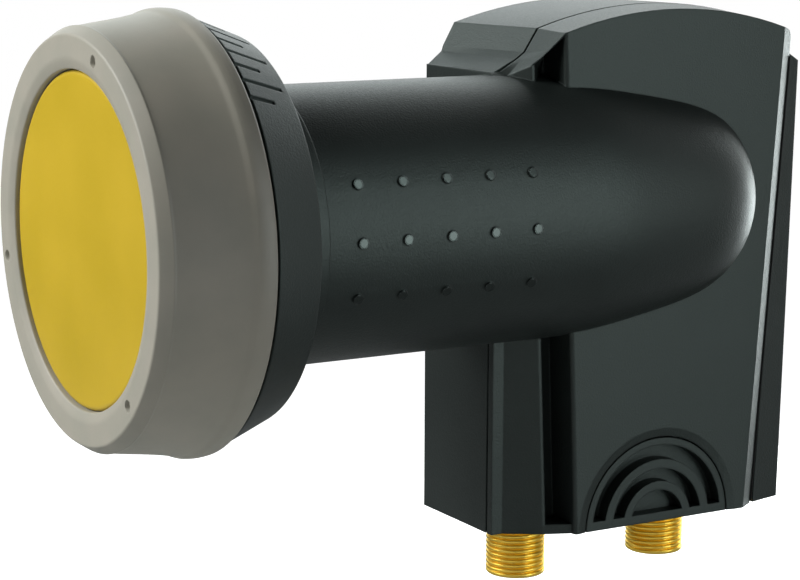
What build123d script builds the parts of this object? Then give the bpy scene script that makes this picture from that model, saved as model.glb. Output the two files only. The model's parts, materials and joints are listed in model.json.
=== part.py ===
from build123d import *
import os

# Satellite LNB with a 40 mm neck, two F ports and a two-part moulded housing.
# X runs along the neck and the feed horn looks to -X. The origin is on the neck's axis, in the middle
# of the clamp zone. Z is up, the ports point down and the seam between the two shells is at Y = 0.
# "Near" is the -Y side, "far" is the +Y side.

# Neck and clamp zone
NECK_R = 20.0
NECK_WALL = 2.2
NECK_FRONT_X = -30.0
FIT = 0.1

# Grip dots, moulded on both halves of the neck
DOT_PITCH = 7.05
DOT_COLUMNS = 5
DOT_ROW_STEP = 23.0
DOT_ROWS = 3
DOT_R = 0.75
DOT_RISE = 0.35

# Cap ring and window
RING_FRONT_X = -47.85
RING_LENGTH = 15.5
RING_FACE_R = 27.7
RING_ROUND_R = 28.3
RING_ROUND_LENGTH = 0.4
RING_FACET_R = 29.0
RING_FACET_LENGTH = 1.2
RING_LIP_FRONT_R = 31.0
RING_LIP_R = 31.25
RING_LIP_LENGTH = 2.9
RING_EDGE_R = 30.6
RING_HOLLOW = 0.15
RING_MOUTH_R = 23.3
RING_BEVEL_WIDTH = 1.4
RING_BEVEL_DEPTH = 0.5
DIMPLE_R = 0.9
DIMPLE_DEPTH = 0.4
DIMPLE_PITCH_R = 26.1
DIMPLE_COUNT = 3
DIMPLE_TURN = 17.8
WINDOW_SET_BACK = 0.75
WINDOW_FACE = 1.6
WINDOW_FLANGE = 1.4
WINDOW_FLANGE_STEP = 1.9
SEAL_THICK = 1.0
SEAL_WIDTH = 4.0

# Skew collar
SLEEVE_WALL = 2.3
COLLAR_GAP = 0.4
COLLAR_FRONT_R = 30.4
COLLAR_REAR_R = 27.4
COLLAR_LENGTH = 7.7
HUB_R = 20.8
HUB_LENGTH = 4.8
COLLAR_STOP = 1.5
COLLAR_STOP_R = 18.0
TICK_STEP = 5.75
TICK_HALF_COUNT = 8
TICK_LONG = 6.4
TICK_SHORT = 4.0
TICK_WIDTH = 0.5
TICK_DEPTH = 0.4

# Housing. Sizes that end in _IN are measured back from its front face.
WALL = 2.0
FRONT_X = 18.5
HOUSING_LENGTH = 53.0
BACK_LEAN = 1.9
FOOT_Z = -50.0
SHOULDER_Z = 20.4
CROWN_Z = 30.0
FAR_Y = 20.5
FAR_CORNER = 2.0
FRONT_CROWN_IN = 8.1
FRONT_CROWN_Z = 26.7
REAR_CROWN_Z = 26.0
LEDGE_IN = 0.65
LEDGE_RUN = 3.8
LEDGE_RISE = 1.9
STEP_RUN = 1.3
STEP_RISE = 0.9

# How far the points of the front shoulder come forward at the far side
LEDGE_SWEEP = 0.4
SILL_SWEEP = 2.0
STEP_SWEEP = 3.1
CROWN_SWEEP = 3.5

# Near shell's raised side and front flange
SIDE_Y = 7.8
SIDE_TOP_IN = 8.0
SIDE_FOOT_IN = 11.3
SIDE_TOP_Z = 26.4
SIDE_CROWN_IN = 27.9
SIDE_CROWN_Z = 29.5
SIDE_REAR_Z = 25.2
SIDE_FRONT_ROUND = 0.6
SIDE_REAR_ROUND = 2.0
SIDE_CHAMFER_X = 2.9
SIDE_CHAMFER_Y = 1.9
SEAM_GAP = 0.45
SEAM_DEPTH = 0.9
NOTCH_FLOOR = 1.5
FLANGE_FLAT = 1.7
FLANGE_STEP_IN = 1.9
FLANGE_DROP = 0.4
FLANGE_DEPTH = 5.1
FLANGE_FOOT_IN = 7.15
FLANGE_TOP_IN = 3.95
FLANGE_TOP_RISE = 1.3
FLANGE_SILL = (1.4, 1.2)
FLANGE_STEP = (2.2, 2.2)
FLANGE_BACK = 0.5
REAR_STRIP_FOOT = 6.6
REAR_STRIP_TOP = 3.1
REAR_STRIP_Y = 5.9
REAR_STRIP_END_Y = 4.0
REAR_STRIP_Z = 22.0
REAR_STRIP_END_Z = 20.6
REAR_STRIP_GAP = 0.7

# Bullet nose that carries the neck's line on over the near side, as (back from the front face, radius),
# and the rounded end of the bore inside it
NOSE_CURVE = (
    (8.0, 20.0),
    (19.5, 18.95),
    (26.5, 17.8),
    (33.5, 16.2),
    (37.5, 14.5),
    (40.5, 12.2),
    (42.5, 9.9),
    (43.9, 7.8),
    (45.8, 0.0),
)
BORE_END_IN = 11.5
BORE_END_LENGTH = 32.8

# Arch panel in the foot of the near side, in a shallow dish
ARCH_IN = 26.9
ARCH_R = 13.55
ARCH_THICK = 3.2
ARCH_GAP = 0.25
ARCH_BAR = 1.4
ARCH_RELIEF = 2.2
ARCH_BANDS = ((12.2, 9.9), (8.4, 6.4), (5.0, 0.0))
ARCH_SEAT = 1.0
DISH_R = 14.9
DISH_DEPTH = 0.3

# Die-cast horn and chassis. The waveguide's lengths are measured from the tray's front.
HORN_MOUTH_R = 16.0
HORN_RIM = 6.6
HORN_RIM_R = 24.8
HORN_GROOVES = ((17.0, 19.4), (20.6, 23.2))
HORN_GROOVE_DEPTH = 5.4
HORN_THROAT_X = -24.0
GUIDE_R = 8.5
GUIDE_WALL = 1.5
GUIDE_LENGTH = 22.0
GUIDE_CAP = 2.0
TRAY_ROOM = 1.5
TRAY_HEAD_ROOM = 0.4
TRAY_FLOOR_Y = 3.0
TRAY_FLOOR = 2.0
TRAY_RIM_Y = 15.0
TRAY_WALL = 1.5
TRAY_LEDGE = 1.3
BOSS_R = 2.4
BOSS_IN = 3.0
LOWER_BOSS_UP = 12.0
HUMP_WIDTH = 6.0
HUMP_TOP_Z = 17.0
HUMP_Y = -3.0

# Chassis lid, its gasket and screws
GASKET = 0.5
LID = 1.0
SCREW_R = 0.95
SCREW_HEAD_R = 1.9
SCREW_HEAD = 1.2
SCREW_LENGTH = 9.0
HOLE_CLEAR = 0.15
PAD_W = 20.0
PAD_T = 2.0

# Circuit board and what stands on it. Positions are (along, up) from the tray's lower front corner.
BOARD_Y = 10.1
BOARD = 1.2
BOARD_CLEAR = 0.15
PROBE_R = 0.5
PROBE_TIP = 2.0
PROBE_HEAD = 0.5
BEAD_R = 1.3
VERTICAL_PROBE_IN = 7.0
HORIZONTAL_PROBE_IN = 16.0
HORIZONTAL_PROBE_Z = 13.0
BAR_R = 0.6
BAR_IN = 11.5
CHIP = (8.0, 8.0, 1.0)
CHIP_AT = (24.0, 30.0)
CRYSTAL = (5.0, 3.2, 1.1)
CRYSTAL_AT = (35.0, 30.0)
REGULATOR = (4.5, 2.5, 1.5)
REGULATORS_AT = ((8.1, 13.0), (35.3, 13.0))
TRANSISTOR = (2.0, 2.0, 0.8)
TRANSISTORS_AT = ((12.0, 39.0), (21.0, 55.0), (16.0, 35.0))

# F ports
PORTS_IN = (11.6, 38.8)
PORT_Y = 9.4
PORT_R = 4.7
PORT_ROOT_R = 4.5
PORT_LEAD = 0.4
PORT_REACH = 10.2
PORT_SEAL = 0.8
PORT_CLEAR = 0.3
PORT_SHOULDER_R = 5.8
PORT_SHOULDER = 1.2
PORT_SPIGOT_R = 3.6
PORT_BORE_R = 2.9
PORT_SEAL_WIDTH = 1.9
INSULATOR_SET_BACK = 1.0
CONTACT_R = 0.7
CONTACT_HOLE_R = 0.4
CONTACT_HOLE = 5.0
CONTACT_RISE = 8.0

# Shell posts that hold the chassis. Positions are (along, up) from the housing's lower front corner.
POST_R = 1.6
NEAR_POSTS = ((15.5, 18.0), (39.5, 18.0), (27.5, 24.0))
FAR_POSTS = ((11.5, 58.0), (41.5, 58.0), (16.5, 10.0), (41.5, 10.0))

# Turns in degrees, and a length that reaches past the part
QUARTER_TURN = 90.0
FULL_TURN = 360.0
REACH = 200.0

# Values worked out from the sizes above
RING_REAR_X = RING_FRONT_X + RING_LENGTH
WINDOW_X = RING_FRONT_X + WINDOW_SET_BACK
WINDOW_FLANGE_X = WINDOW_X + WINDOW_FACE
SEAL_X = WINDOW_FLANGE_X + WINDOW_FLANGE
SLEEVE_X = SEAL_X + SEAL_THICK
WINDOW_R = RING_MOUTH_R - FIT
WINDOW_FLANGE_R = WINDOW_R + WINDOW_FLANGE_STEP
SLEEVE_BORE_R = HORN_RIM_R + FIT
SLEEVE_R = SLEEVE_BORE_R + SLEEVE_WALL
COLLAR_X = RING_REAR_X + COLLAR_GAP
COLLAR_REAR_X = COLLAR_X + COLLAR_LENGTH
HUB_END_X = COLLAR_REAR_X + HUB_LENGTH
HORN_SEAT_X = SLEEVE_X + HORN_RIM
NECK_BORE_R = NECK_R - NECK_WALL
BACK_FOOT_X = FRONT_X + HOUSING_LENGTH
BACK_TOP_X = BACK_FOOT_X + BACK_LEAN
FRONT_CROWN_X = FRONT_X + FRONT_CROWN_IN
SIDE_FRONT_TOP_X = FRONT_X + SIDE_TOP_IN
SIDE_FRONT_FOOT_X = FRONT_X + SIDE_FOOT_IN
SIDE_REAR_FOOT_X = BACK_FOOT_X - REAR_STRIP_FOOT
SIDE_REAR_TOP_X = BACK_TOP_X - REAR_STRIP_TOP
CROWN_X = (FRONT_CROWN_X + SIDE_REAR_TOP_X) / 2
SIDE_CROWN_X = FRONT_X + SIDE_CROWN_IN
BORE_END_X = FRONT_X + BORE_END_IN
ARCH_X = FRONT_X + ARCH_IN
ARCH_Y = -SIDE_Y + DISH_DEPTH
LEDGE = (FRONT_X + LEDGE_IN, SHOULDER_Z)
SILL = (LEDGE[0] + LEDGE_RUN, LEDGE[1] + LEDGE_RISE)
STEP = (SILL[0] + STEP_RUN, SILL[1] + STEP_RISE)
SHELL_FLOOR_Z = FOOT_Z + WALL
FAR_INNER_Y = FAR_Y - WALL
SIDE_INNER_Y = SIDE_Y - WALL
TRAY_X0 = FRONT_X + WALL + TRAY_ROOM
TRAY_X1 = BACK_FOOT_X - WALL - TRAY_ROOM
TRAY_Z0 = SHELL_FLOOR_Z + PORT_SEAL + PORT_SHOULDER
TRAY_Z1 = SHOULDER_Z - WALL - TRAY_HEAD_ROOM
GUIDE_OUTER_R = GUIDE_R + GUIDE_WALL
GUIDE_END_X = TRAY_X0 + GUIDE_LENGTH
VERTICAL_PROBE_X = TRAY_X0 + VERTICAL_PROBE_IN
HORIZONTAL_PROBE_X = TRAY_X0 + HORIZONTAL_PROBE_IN
BAR_X = TRAY_X0 + BAR_IN
LID_Y = TRAY_RIM_Y + GASKET
LID_TOP_Y = LID_Y + LID
BOARD_TOP_Y = BOARD_Y + BOARD
PORTS_X = [FRONT_X + port_in for port_in in PORTS_IN]
PORT_END_Z = FOOT_Z - PORT_REACH
PORT_SPIGOT = TRAY_WALL
BOSSES = [
    (x, z)
    for x in (TRAY_X0 + BOSS_IN, TRAY_X1 - BOSS_IN)
    for z in (TRAY_Z0 + LOWER_BOSS_UP, TRAY_Z1 - BOSS_IN)
]


def xz(*points, y=0.0):
    """Closed straight-sided face in the plane of constant Y, from (x, z) points."""
    return Plane.XZ.offset(-y) * make_face(Polyline(*points, close=True))


def slab(face, y0, y1):
    """Face at Y = 0 drawn out from Y = y0 to Y = y1."""
    return Pos(0, y0, 0) * extrude(face, amount=y0 - y1)


def turned(*points):
    """Solid of revolution about the neck's axis, from (x, radius) points."""
    return revolve(xz(*points), Axis.X)


def rod_y(x, z, radius, y0, y1):
    """Round bar along Y."""
    return Pos(x, (y0 + y1) / 2, z) * Rot(QUARTER_TURN, 0, 0) * Cylinder(radius, abs(y1 - y0))


def rod_z(x, y, radius, z0, z1):
    """Round bar along Z."""
    return Pos(x, y, (z0 + z1) / 2) * Cylinder(radius, abs(z1 - z0))


def rod_x(radius, x0, x1):
    """Round bar on the neck's axis."""
    return Pos((x0 + x1) / 2, 0, 0) * Rot(0, QUARTER_TURN, 0) * Cylinder(radius, x1 - x0)


def block(x0, x1, y0, y1, z0, z1):
    """Box between two corners."""
    return Pos((x0 + x1) / 2, (y0 + y1) / 2, (z0 + z1) / 2) * Box(x1 - x0, y1 - y0, z1 - z0)


def crowned(y, points, start, crown, end):
    """Face at Y = y whose outline is straight through the points and an arc over the top."""
    arc = ThreePointArc(start, crown, end)
    sides = Polyline(end, *points, start)
    return Plane.XZ.offset(-y) * make_face([arc, sides])


def bullet():
    """The neck and its nose, which tapers slowly and then rounds off."""
    points = [(FRONT_X + back, radius) for back, radius in NOSE_CURVE]
    curve = Spline(*points, tangents=[(1, 0), (0, -1)])
    rim = Polyline(points[0], (NECK_FRONT_X, NECK_R), (NECK_FRONT_X, 0), points[-1])
    return revolve(Plane.XZ * make_face([curve, rim]), Axis.X)


def bore():
    """Room inside the neck and nose: a cylinder that ends in a half ellipsoid."""
    curve = EllipticalCenterArc(
        (BORE_END_X, 0), BORE_END_LENGTH, NECK_BORE_R, start_angle=0, arc_size=QUARTER_TURN
    )
    tip = (BORE_END_X + BORE_END_LENGTH, 0)
    rim = Polyline((BORE_END_X, NECK_BORE_R), (NECK_FRONT_X, NECK_BORE_R), (NECK_FRONT_X, 0), tip)
    return revolve(Plane.XZ * make_face([curve, rim]), Axis.X)


def half(solid, side):
    """The part of a solid on one side of the seam, -1 for near and +1 for far."""
    keep = block(-REACH, REACH, 0, REACH, -REACH, REACH)
    return solid & (keep if side > 0 else mirror(keep, Plane.XZ))


def grip_dots(side):
    """Rows of small round dots that stand out of one half of the neck."""
    dots = []
    for column in range(DOT_COLUMNS):
        for row in range(DOT_ROWS):
            x = (column - (DOT_COLUMNS - 1) / 2) * DOT_PITCH
            tilt = (row - (DOT_ROWS - 1) / 2) * DOT_ROW_STEP
            dot = rod_y(x, 0, DOT_R, side * (NECK_R - WALL / 2), side * (NECK_R + DOT_RISE))
            dots.append(Rot(tilt, 0, 0) * dot)
    return dots


def far_section(y, inset=0.0):
    """Cross-section of the far shell. Its front shoulder sweeps forward with Y, and the inset draws the
    whole outline in."""
    share = y / FAR_Y
    front_x, rear_x = FRONT_X + inset, SIDE_REAR_TOP_X - inset
    points = [
        (rear_x + STEP_RUN / 2, STEP[1] - inset),
        (rear_x + STEP_RUN, SILL[1] - inset),
        (BACK_TOP_X - inset, SHOULDER_Z + STEP_RISE - inset),
        (BACK_FOOT_X - inset, FOOT_Z + inset),
        (front_x, FOOT_Z + inset),
        (front_x, SHOULDER_Z - inset),
        (LEDGE[0] - share * LEDGE_SWEEP + inset, LEDGE[1] - inset),
        (SILL[0] - share * SILL_SWEEP + inset, SILL[1] - inset),
        (STEP[0] - share * STEP_SWEEP + inset, STEP[1] - inset),
    ]
    start = (FRONT_CROWN_X - share * CROWN_SWEEP + inset, FRONT_CROWN_Z - inset)
    return crowned(y, points, start, (CROWN_X, CROWN_Z - inset), (rear_x, REAR_CROWN_Z - inset))


def far_cavity():
    """Room for the chassis inside the far shell."""
    return slab(
        xz(
            (FRONT_X + WALL, SHELL_FLOOR_Z),
            (FRONT_X + WALL, SHOULDER_Z - WALL),
            (FRONT_CROWN_X + WALL, FRONT_CROWN_Z - WALL),
            (SIDE_REAR_TOP_X - WALL, REAR_CROWN_Z - WALL),
            (BACK_FOOT_X - WALL, SHOULDER_Z - WALL),
            (BACK_FOOT_X - WALL, SHELL_FLOOR_Z),
        ),
        0,
        FAR_INNER_Y,
    )


def side_rear_x(z):
    """X of the near shell's slanted rear face at a height."""
    share = (z - FOOT_Z) / (SIDE_REAR_Z - FOOT_Z)
    return SIDE_REAR_FOOT_X + share * (SIDE_REAR_TOP_X - SIDE_REAR_FOOT_X)


def rear_strip():
    """The part of the far shell that wraps round behind the near shell."""
    plan = make_face(
        Polyline(
            (SIDE_REAR_FOOT_X, 0),
            (SIDE_REAR_FOOT_X, -REAR_STRIP_Y),
            (BACK_TOP_X, -REAR_STRIP_END_Y),
            (BACK_TOP_X, 0),
            close=True,
        )
    )
    strip = Pos(0, 0, FOOT_Z) * extrude(plan, amount=REAR_STRIP_Z - FOOT_Z)
    behind = xz(
        (side_rear_x(FOOT_Z) + REAR_STRIP_GAP, FOOT_Z),
        (side_rear_x(REAR_STRIP_Z) + REAR_STRIP_GAP, REAR_STRIP_Z),
        (BACK_TOP_X, REAR_STRIP_END_Z),
        (BACK_FOOT_X, FOOT_Z),
    )
    return strip & slab(behind, 0, -REAR_STRIP_Y)


def far_shell():
    sections = [far_section(0), far_section(FAR_Y - FAR_CORNER), far_section(FAR_Y, FAR_CORNER)]
    body = loft(sections, ruled=True)
    body += half(rod_x(NECK_R, NECK_FRONT_X, FRONT_X + WALL), 1)
    for dot in grip_dots(1):
        body += dot
    body += rear_strip()
    body -= far_cavity()
    body -= half(bore(), 1)
    for x in PORTS_X:
        body -= rod_z(x, PORT_Y, PORT_R + PORT_CLEAR, FOOT_Z, SHELL_FLOOR_Z)
    for along, up in FAR_POSTS:
        body += rod_y(FRONT_X + along, FOOT_Z + up, POST_R, FAR_INNER_Y, LID_TOP_Y)
    return body


def flange():
    """Slanted front flange of the near shell, from the flat by the seam to a thin rear edge."""
    front_x = FRONT_X + FLANGE_STEP_IN
    foot_x = FRONT_X + FLANGE_FOOT_IN
    top_x = FRONT_X + FLANGE_TOP_IN
    top_z = SHOULDER_Z + FLANGE_TOP_RISE
    front_z = SHOULDER_Z - FLANGE_DROP
    low = xz(
        (front_x, FOOT_Z),
        (front_x, front_z),
        (foot_x + FLANGE_BACK, front_z),
        (foot_x + FLANGE_BACK, FOOT_Z),
        y=-FLANGE_FLAT,
    )
    low_edge = xz(
        (foot_x, FOOT_Z),
        (top_x, top_z),
        (top_x + FLANGE_BACK, top_z),
        (foot_x + FLANGE_BACK, FOOT_Z),
        y=-FLANGE_DEPTH,
    )
    crown_x, crown_z = crown_points(-FLANGE_FLAT)[0]
    high = xz(
        (front_x, front_z),
        SILL,
        STEP,
        (crown_x, crown_z),
        (crown_x + FLANGE_BACK, crown_z),
        (foot_x + FLANGE_BACK, front_z),
        y=-FLANGE_FLAT,
    )
    run = SIDE_FRONT_TOP_X - top_x
    rise = SIDE_TOP_Z - top_z
    drop = (SIDE_Y - FLANGE_DEPTH) / rise
    stretch = (1 + drop**2) ** 0.5
    outline = [(0, 0), FLANGE_SILL, FLANGE_STEP, (run, rise), (run + FLANGE_BACK, rise), (FLANGE_BACK, 0)]
    tilted = Plane(origin=(top_x, -FLANGE_DEPTH, top_z), x_dir=(1, 0, 0), z_dir=(0, -1, -drop))
    high_edge = tilted * make_face(Polyline(*[(u, v * stretch) for u, v in outline], close=True))
    return loft([low, low_edge], ruled=True) + loft([high, high_edge], ruled=True)


def crown_points(y):
    """Start, middle and end of the near shell's crown arc, which falls from the seam to the near side."""
    share = -y / SIDE_Y
    at_seam = ((FRONT_CROWN_X, FRONT_CROWN_Z), (CROWN_X, CROWN_Z), (SIDE_REAR_TOP_X, REAR_CROWN_Z))
    at_side = ((SIDE_FRONT_TOP_X, SIDE_TOP_Z), (SIDE_CROWN_X, SIDE_CROWN_Z), (SIDE_REAR_TOP_X, SIDE_REAR_Z))
    return [
        (x0 + share * (x1 - x0), z0 + share * (z1 - z0)) for (x0, z0), (x1, z1) in zip(at_seam, at_side)
    ]


def near_section(y, sides):
    """Cross-section of the near shell under its crown arc, with the rear top corner rounded."""
    start, crown, end = crown_points(y)
    face = crowned(y, sides, start, crown, end)
    corner = face.vertices().sort_by_distance((end[0], y, end[1]))[0]
    return fillet(corner, SIDE_REAR_ROUND)


def raised_side():
    """Raised block of the near shell with a slanted front, an arched top and a chamfered rear."""
    sides = [(SIDE_REAR_FOOT_X, FOOT_Z), (SIDE_FRONT_FOOT_X, FOOT_Z)]
    body = loft([near_section(-FLANGE_FLAT, sides), near_section(-SIDE_Y, sides)], ruled=True)
    outer = body.faces().sort_by(Axis.Y)[0].edges()
    front = outer.filter_by(GeomType.LINE).sort_by(Axis.X)[0]
    return fillet(front, SIDE_FRONT_ROUND) - rear_wedge()


def rear_wedge():
    """What the chamfer takes off the raised side's rear edge."""
    triangles = []
    for z in (FOOT_Z, CROWN_Z):
        x = side_rear_x(z)
        corners = [(x - SIDE_CHAMFER_X, -SIDE_Y), (x, SIDE_CHAMFER_Y - SIDE_Y), (x, -SIDE_Y)]
        triangles.append(Pos(0, 0, z) * make_face(Polyline(*corners, close=True)))
    return loft(triangles, ruled=True)


def plate_section(y, ledge, drop):
    """Cross-section of the near shell's plate, which carries the seam round the front and the crown."""
    foot = [(SIDE_REAR_FOOT_X, FOOT_Z), (FRONT_X, FOOT_Z)]
    front = [(FRONT_X, SHOULDER_Z - drop), ledge, SILL, STEP]
    return near_section(y, foot + front)


def seam_groove(seam_face):
    """Parting line: a narrow groove round the seam face, but not where the neck leaves it or at the rear."""
    inner = offset(seam_face, -SEAM_DEPTH, kind=Kind.INTERSECTION)
    groove = slab(seam_face - inner, 0, -SEAM_GAP)
    groove &= block(FRONT_X, SIDE_REAR_FOOT_X - WALL, -SEAM_GAP, 0, FOOT_Z, REACH)
    return groove - rod_x(NECK_R + SEAM_GAP, NECK_FRONT_X, CROWN_X)


def notch_floor():
    """Web that closes the notch behind the flange at the foot."""
    foot_x = FRONT_X + FLANGE_FOOT_IN
    side_x = SIDE_FRONT_FOOT_X + WALL / 2
    side_y = -SIDE_Y + SIDE_FRONT_ROUND
    plan = Polyline(
        (foot_x, -FLANGE_FLAT), (foot_x, -FLANGE_DEPTH), (side_x, side_y), (side_x, -FLANGE_FLAT), close=True
    )
    return Pos(0, 0, FOOT_Z) * extrude(make_face(plan), amount=NOTCH_FLOOR)


def near_shell():
    """Moulding with the raised side, the bullet nose, half the neck and the slanted front flange."""
    dropped = (FRONT_X + FLANGE_STEP_IN, SHOULDER_Z - FLANGE_DROP)
    seam_face = plate_section(0, LEDGE, 0)
    plate = loft([seam_face, plate_section(-FLANGE_FLAT, dropped, 2 * FLANGE_DROP)], ruled=True)
    body = plate + flange() + raised_side() + notch_floor()
    body -= seam_groove(seam_face)
    body += half(bullet(), -1)
    for dot in grip_dots(-1):
        body += dot
    cavity = xz(
        (SIDE_FRONT_FOOT_X + WALL, SHELL_FLOOR_Z),
        (SIDE_FRONT_FOOT_X + WALL, SIDE_TOP_Z - WALL),
        (SIDE_REAR_FOOT_X - WALL, SIDE_TOP_Z - WALL),
        (SIDE_REAR_FOOT_X - SIDE_CHAMFER_X - WALL, SHELL_FLOOR_Z),
    )
    body -= slab(cavity, 0, -SIDE_INNER_Y)
    body -= half(bore(), -1)
    body += arch_seat()
    body -= dish()
    body -= arch_panel(ARCH_R, ARCH_Y + ARCH_THICK, -SIDE_Y)
    for along, up in NEAR_POSTS:
        body += rod_y(FRONT_X + along, FOOT_Z + up, POST_R, -SIDE_INNER_Y, TRAY_FLOOR_Y)
    return body


def arch_panel(radius, y0, y1):
    """Half disc that stands on the foot of the housing."""
    disc = rod_y(ARCH_X, FOOT_Z, radius, y0, y1)
    above = block(ARCH_X - 2 * ARCH_R, ARCH_X + 2 * ARCH_R, -2 * SIDE_Y, 0, FOOT_Z, FOOT_Z + 2 * ARCH_R)
    return disc & above


def arch_seat():
    """Thicker wall behind the arch panel."""
    return arch_panel(ARCH_R + ARCH_SEAT, -SIDE_INNER_Y - WALL / 2, -SIDE_INNER_Y + ARCH_THICK)


def dish():
    """Shallow cone that sinks the side's face towards the arch panel."""
    slope = DISH_DEPTH / (DISH_R - ARCH_R)
    depth = slope * DISH_R
    return Pos(ARCH_X, -SIDE_Y + depth / 2, FOOT_Z) * Rot(-QUARTER_TURN, 0, 0) * Cone(DISH_R, 0, depth)


def arch_insert():
    """Arch panel with plain concentric relief over a base bar."""
    panel = arch_panel(ARCH_R - ARCH_GAP, ARCH_Y, ARCH_Y + ARCH_THICK)
    over_bar = block(
        ARCH_X - ARCH_R, ARCH_X + ARCH_R, -2 * SIDE_Y, 0, FOOT_Z + ARCH_BAR, FOOT_Z + ARCH_R
    )
    for outer, inner in ARCH_BANDS:
        band = rod_y(ARCH_X, FOOT_Z, outer, ARCH_Y, ARCH_Y + ARCH_RELIEF)
        if inner:
            band -= rod_y(ARCH_X, FOOT_Z, inner, ARCH_Y, ARCH_Y + ARCH_RELIEF)
        panel -= band & over_bar
    return panel


def cap_ring():
    """Grey ring that holds the window and pushes on over the collar's sleeve."""
    x0, x1 = RING_FRONT_X, RING_REAR_X
    face = (x0, RING_FACE_R)
    rounded = (x0 + RING_ROUND_LENGTH, RING_ROUND_R)
    facet = (rounded[0] + RING_FACET_LENGTH, RING_FACET_R)
    lip = (x1 - RING_LIP_LENGTH, RING_LIP_FRONT_R)
    waist = ((facet[0] + lip[0]) / 2, (facet[1] + lip[1]) / 2 - RING_HOLLOW)
    outline = [
        TangentArc(face, rounded, tangent=(0, 1)),
        Line(rounded, facet),
        ThreePointArc(facet, waist, lip),
        ThreePointArc(lip, (x1 - RING_LIP_LENGTH / 2, RING_LIP_R), (x1, RING_EDGE_R)),
        Polyline(
            (x1, RING_EDGE_R),
            (x1, SLEEVE_R + FIT),
            (SEAL_X, SLEEVE_R + FIT),
            (SEAL_X, WINDOW_FLANGE_R + FIT),
            (WINDOW_FLANGE_X, WINDOW_FLANGE_R + FIT),
            (WINDOW_FLANGE_X, RING_MOUTH_R),
            (x0 + RING_BEVEL_DEPTH, RING_MOUTH_R),
            (x0, RING_MOUTH_R + RING_BEVEL_WIDTH),
            face,
        ),
    ]
    ring = revolve(Plane.XZ * make_face(outline), Axis.X)
    for index in range(DIMPLE_COUNT):
        dimple = Pos(0, 0, DIMPLE_PITCH_R) * rod_x(DIMPLE_R, x0, x0 + DIMPLE_DEPTH)
        ring -= Rot(DIMPLE_TURN + index * FULL_TURN / DIMPLE_COUNT, 0, 0) * dimple
    return ring


def window():
    face = rod_x(WINDOW_R, WINDOW_X, WINDOW_FLANGE_X)
    return face + rod_x(WINDOW_FLANGE_R, WINDOW_FLANGE_X, SEAL_X)


def cap_seal():
    return rod_x(SLEEVE_R, SEAL_X, SLEEVE_X) - rod_x(SLEEVE_R - SEAL_WIDTH, SEAL_X, SLEEVE_X)


def skew_collar():
    """Black collar with the skew scale; it ties the two shells together round the neck."""
    stop_x = NECK_FRONT_X - COLLAR_STOP
    bore_r = HORN_RIM_R - WALL
    collar = turned(
        (SLEEVE_X, SLEEVE_BORE_R),
        (SLEEVE_X, SLEEVE_R),
        (COLLAR_X, SLEEVE_R),
        (COLLAR_X, COLLAR_FRONT_R),
        (COLLAR_REAR_X, COLLAR_REAR_R),
        (COLLAR_REAR_X, HUB_R),
        (HUB_END_X, HUB_R),
        (HUB_END_X, NECK_R + FIT),
        (NECK_FRONT_X, NECK_R + FIT),
        (NECK_FRONT_X, COLLAR_STOP_R),
        (stop_x, COLLAR_STOP_R),
        (HORN_SEAT_X + COLLAR_STOP, bore_r),
        (HORN_SEAT_X, bore_r),
        (HORN_SEAT_X, SLEEVE_BORE_R),
    )
    slope = (COLLAR_FRONT_R - COLLAR_REAR_R) / COLLAR_LENGTH
    for index in range(-TICK_HALF_COUNT, TICK_HALF_COUNT + 1):
        length = TICK_LONG if index % 2 else TICK_SHORT
        end_x = COLLAR_X + length
        end_r = COLLAR_FRONT_R - slope * length
        mark = xz(
            (COLLAR_X, COLLAR_FRONT_R - TICK_DEPTH),
            (COLLAR_X, COLLAR_FRONT_R + TICK_DEPTH),
            (end_x, end_r + TICK_DEPTH),
            (end_x, end_r - TICK_DEPTH),
        )
        collar -= Rot(index * TICK_STEP, 0, 0) * slab(mark, TICK_WIDTH / 2, -TICK_WIDTH / 2)
    return collar


def tray_pocket(inset, y0, y1):
    """Inside of the chassis tray at a given inset from its outside."""
    return block(TRAY_X0 + inset, TRAY_X1 - inset, y0, y1, TRAY_Z0 + inset, TRAY_Z1 - inset)


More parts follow.
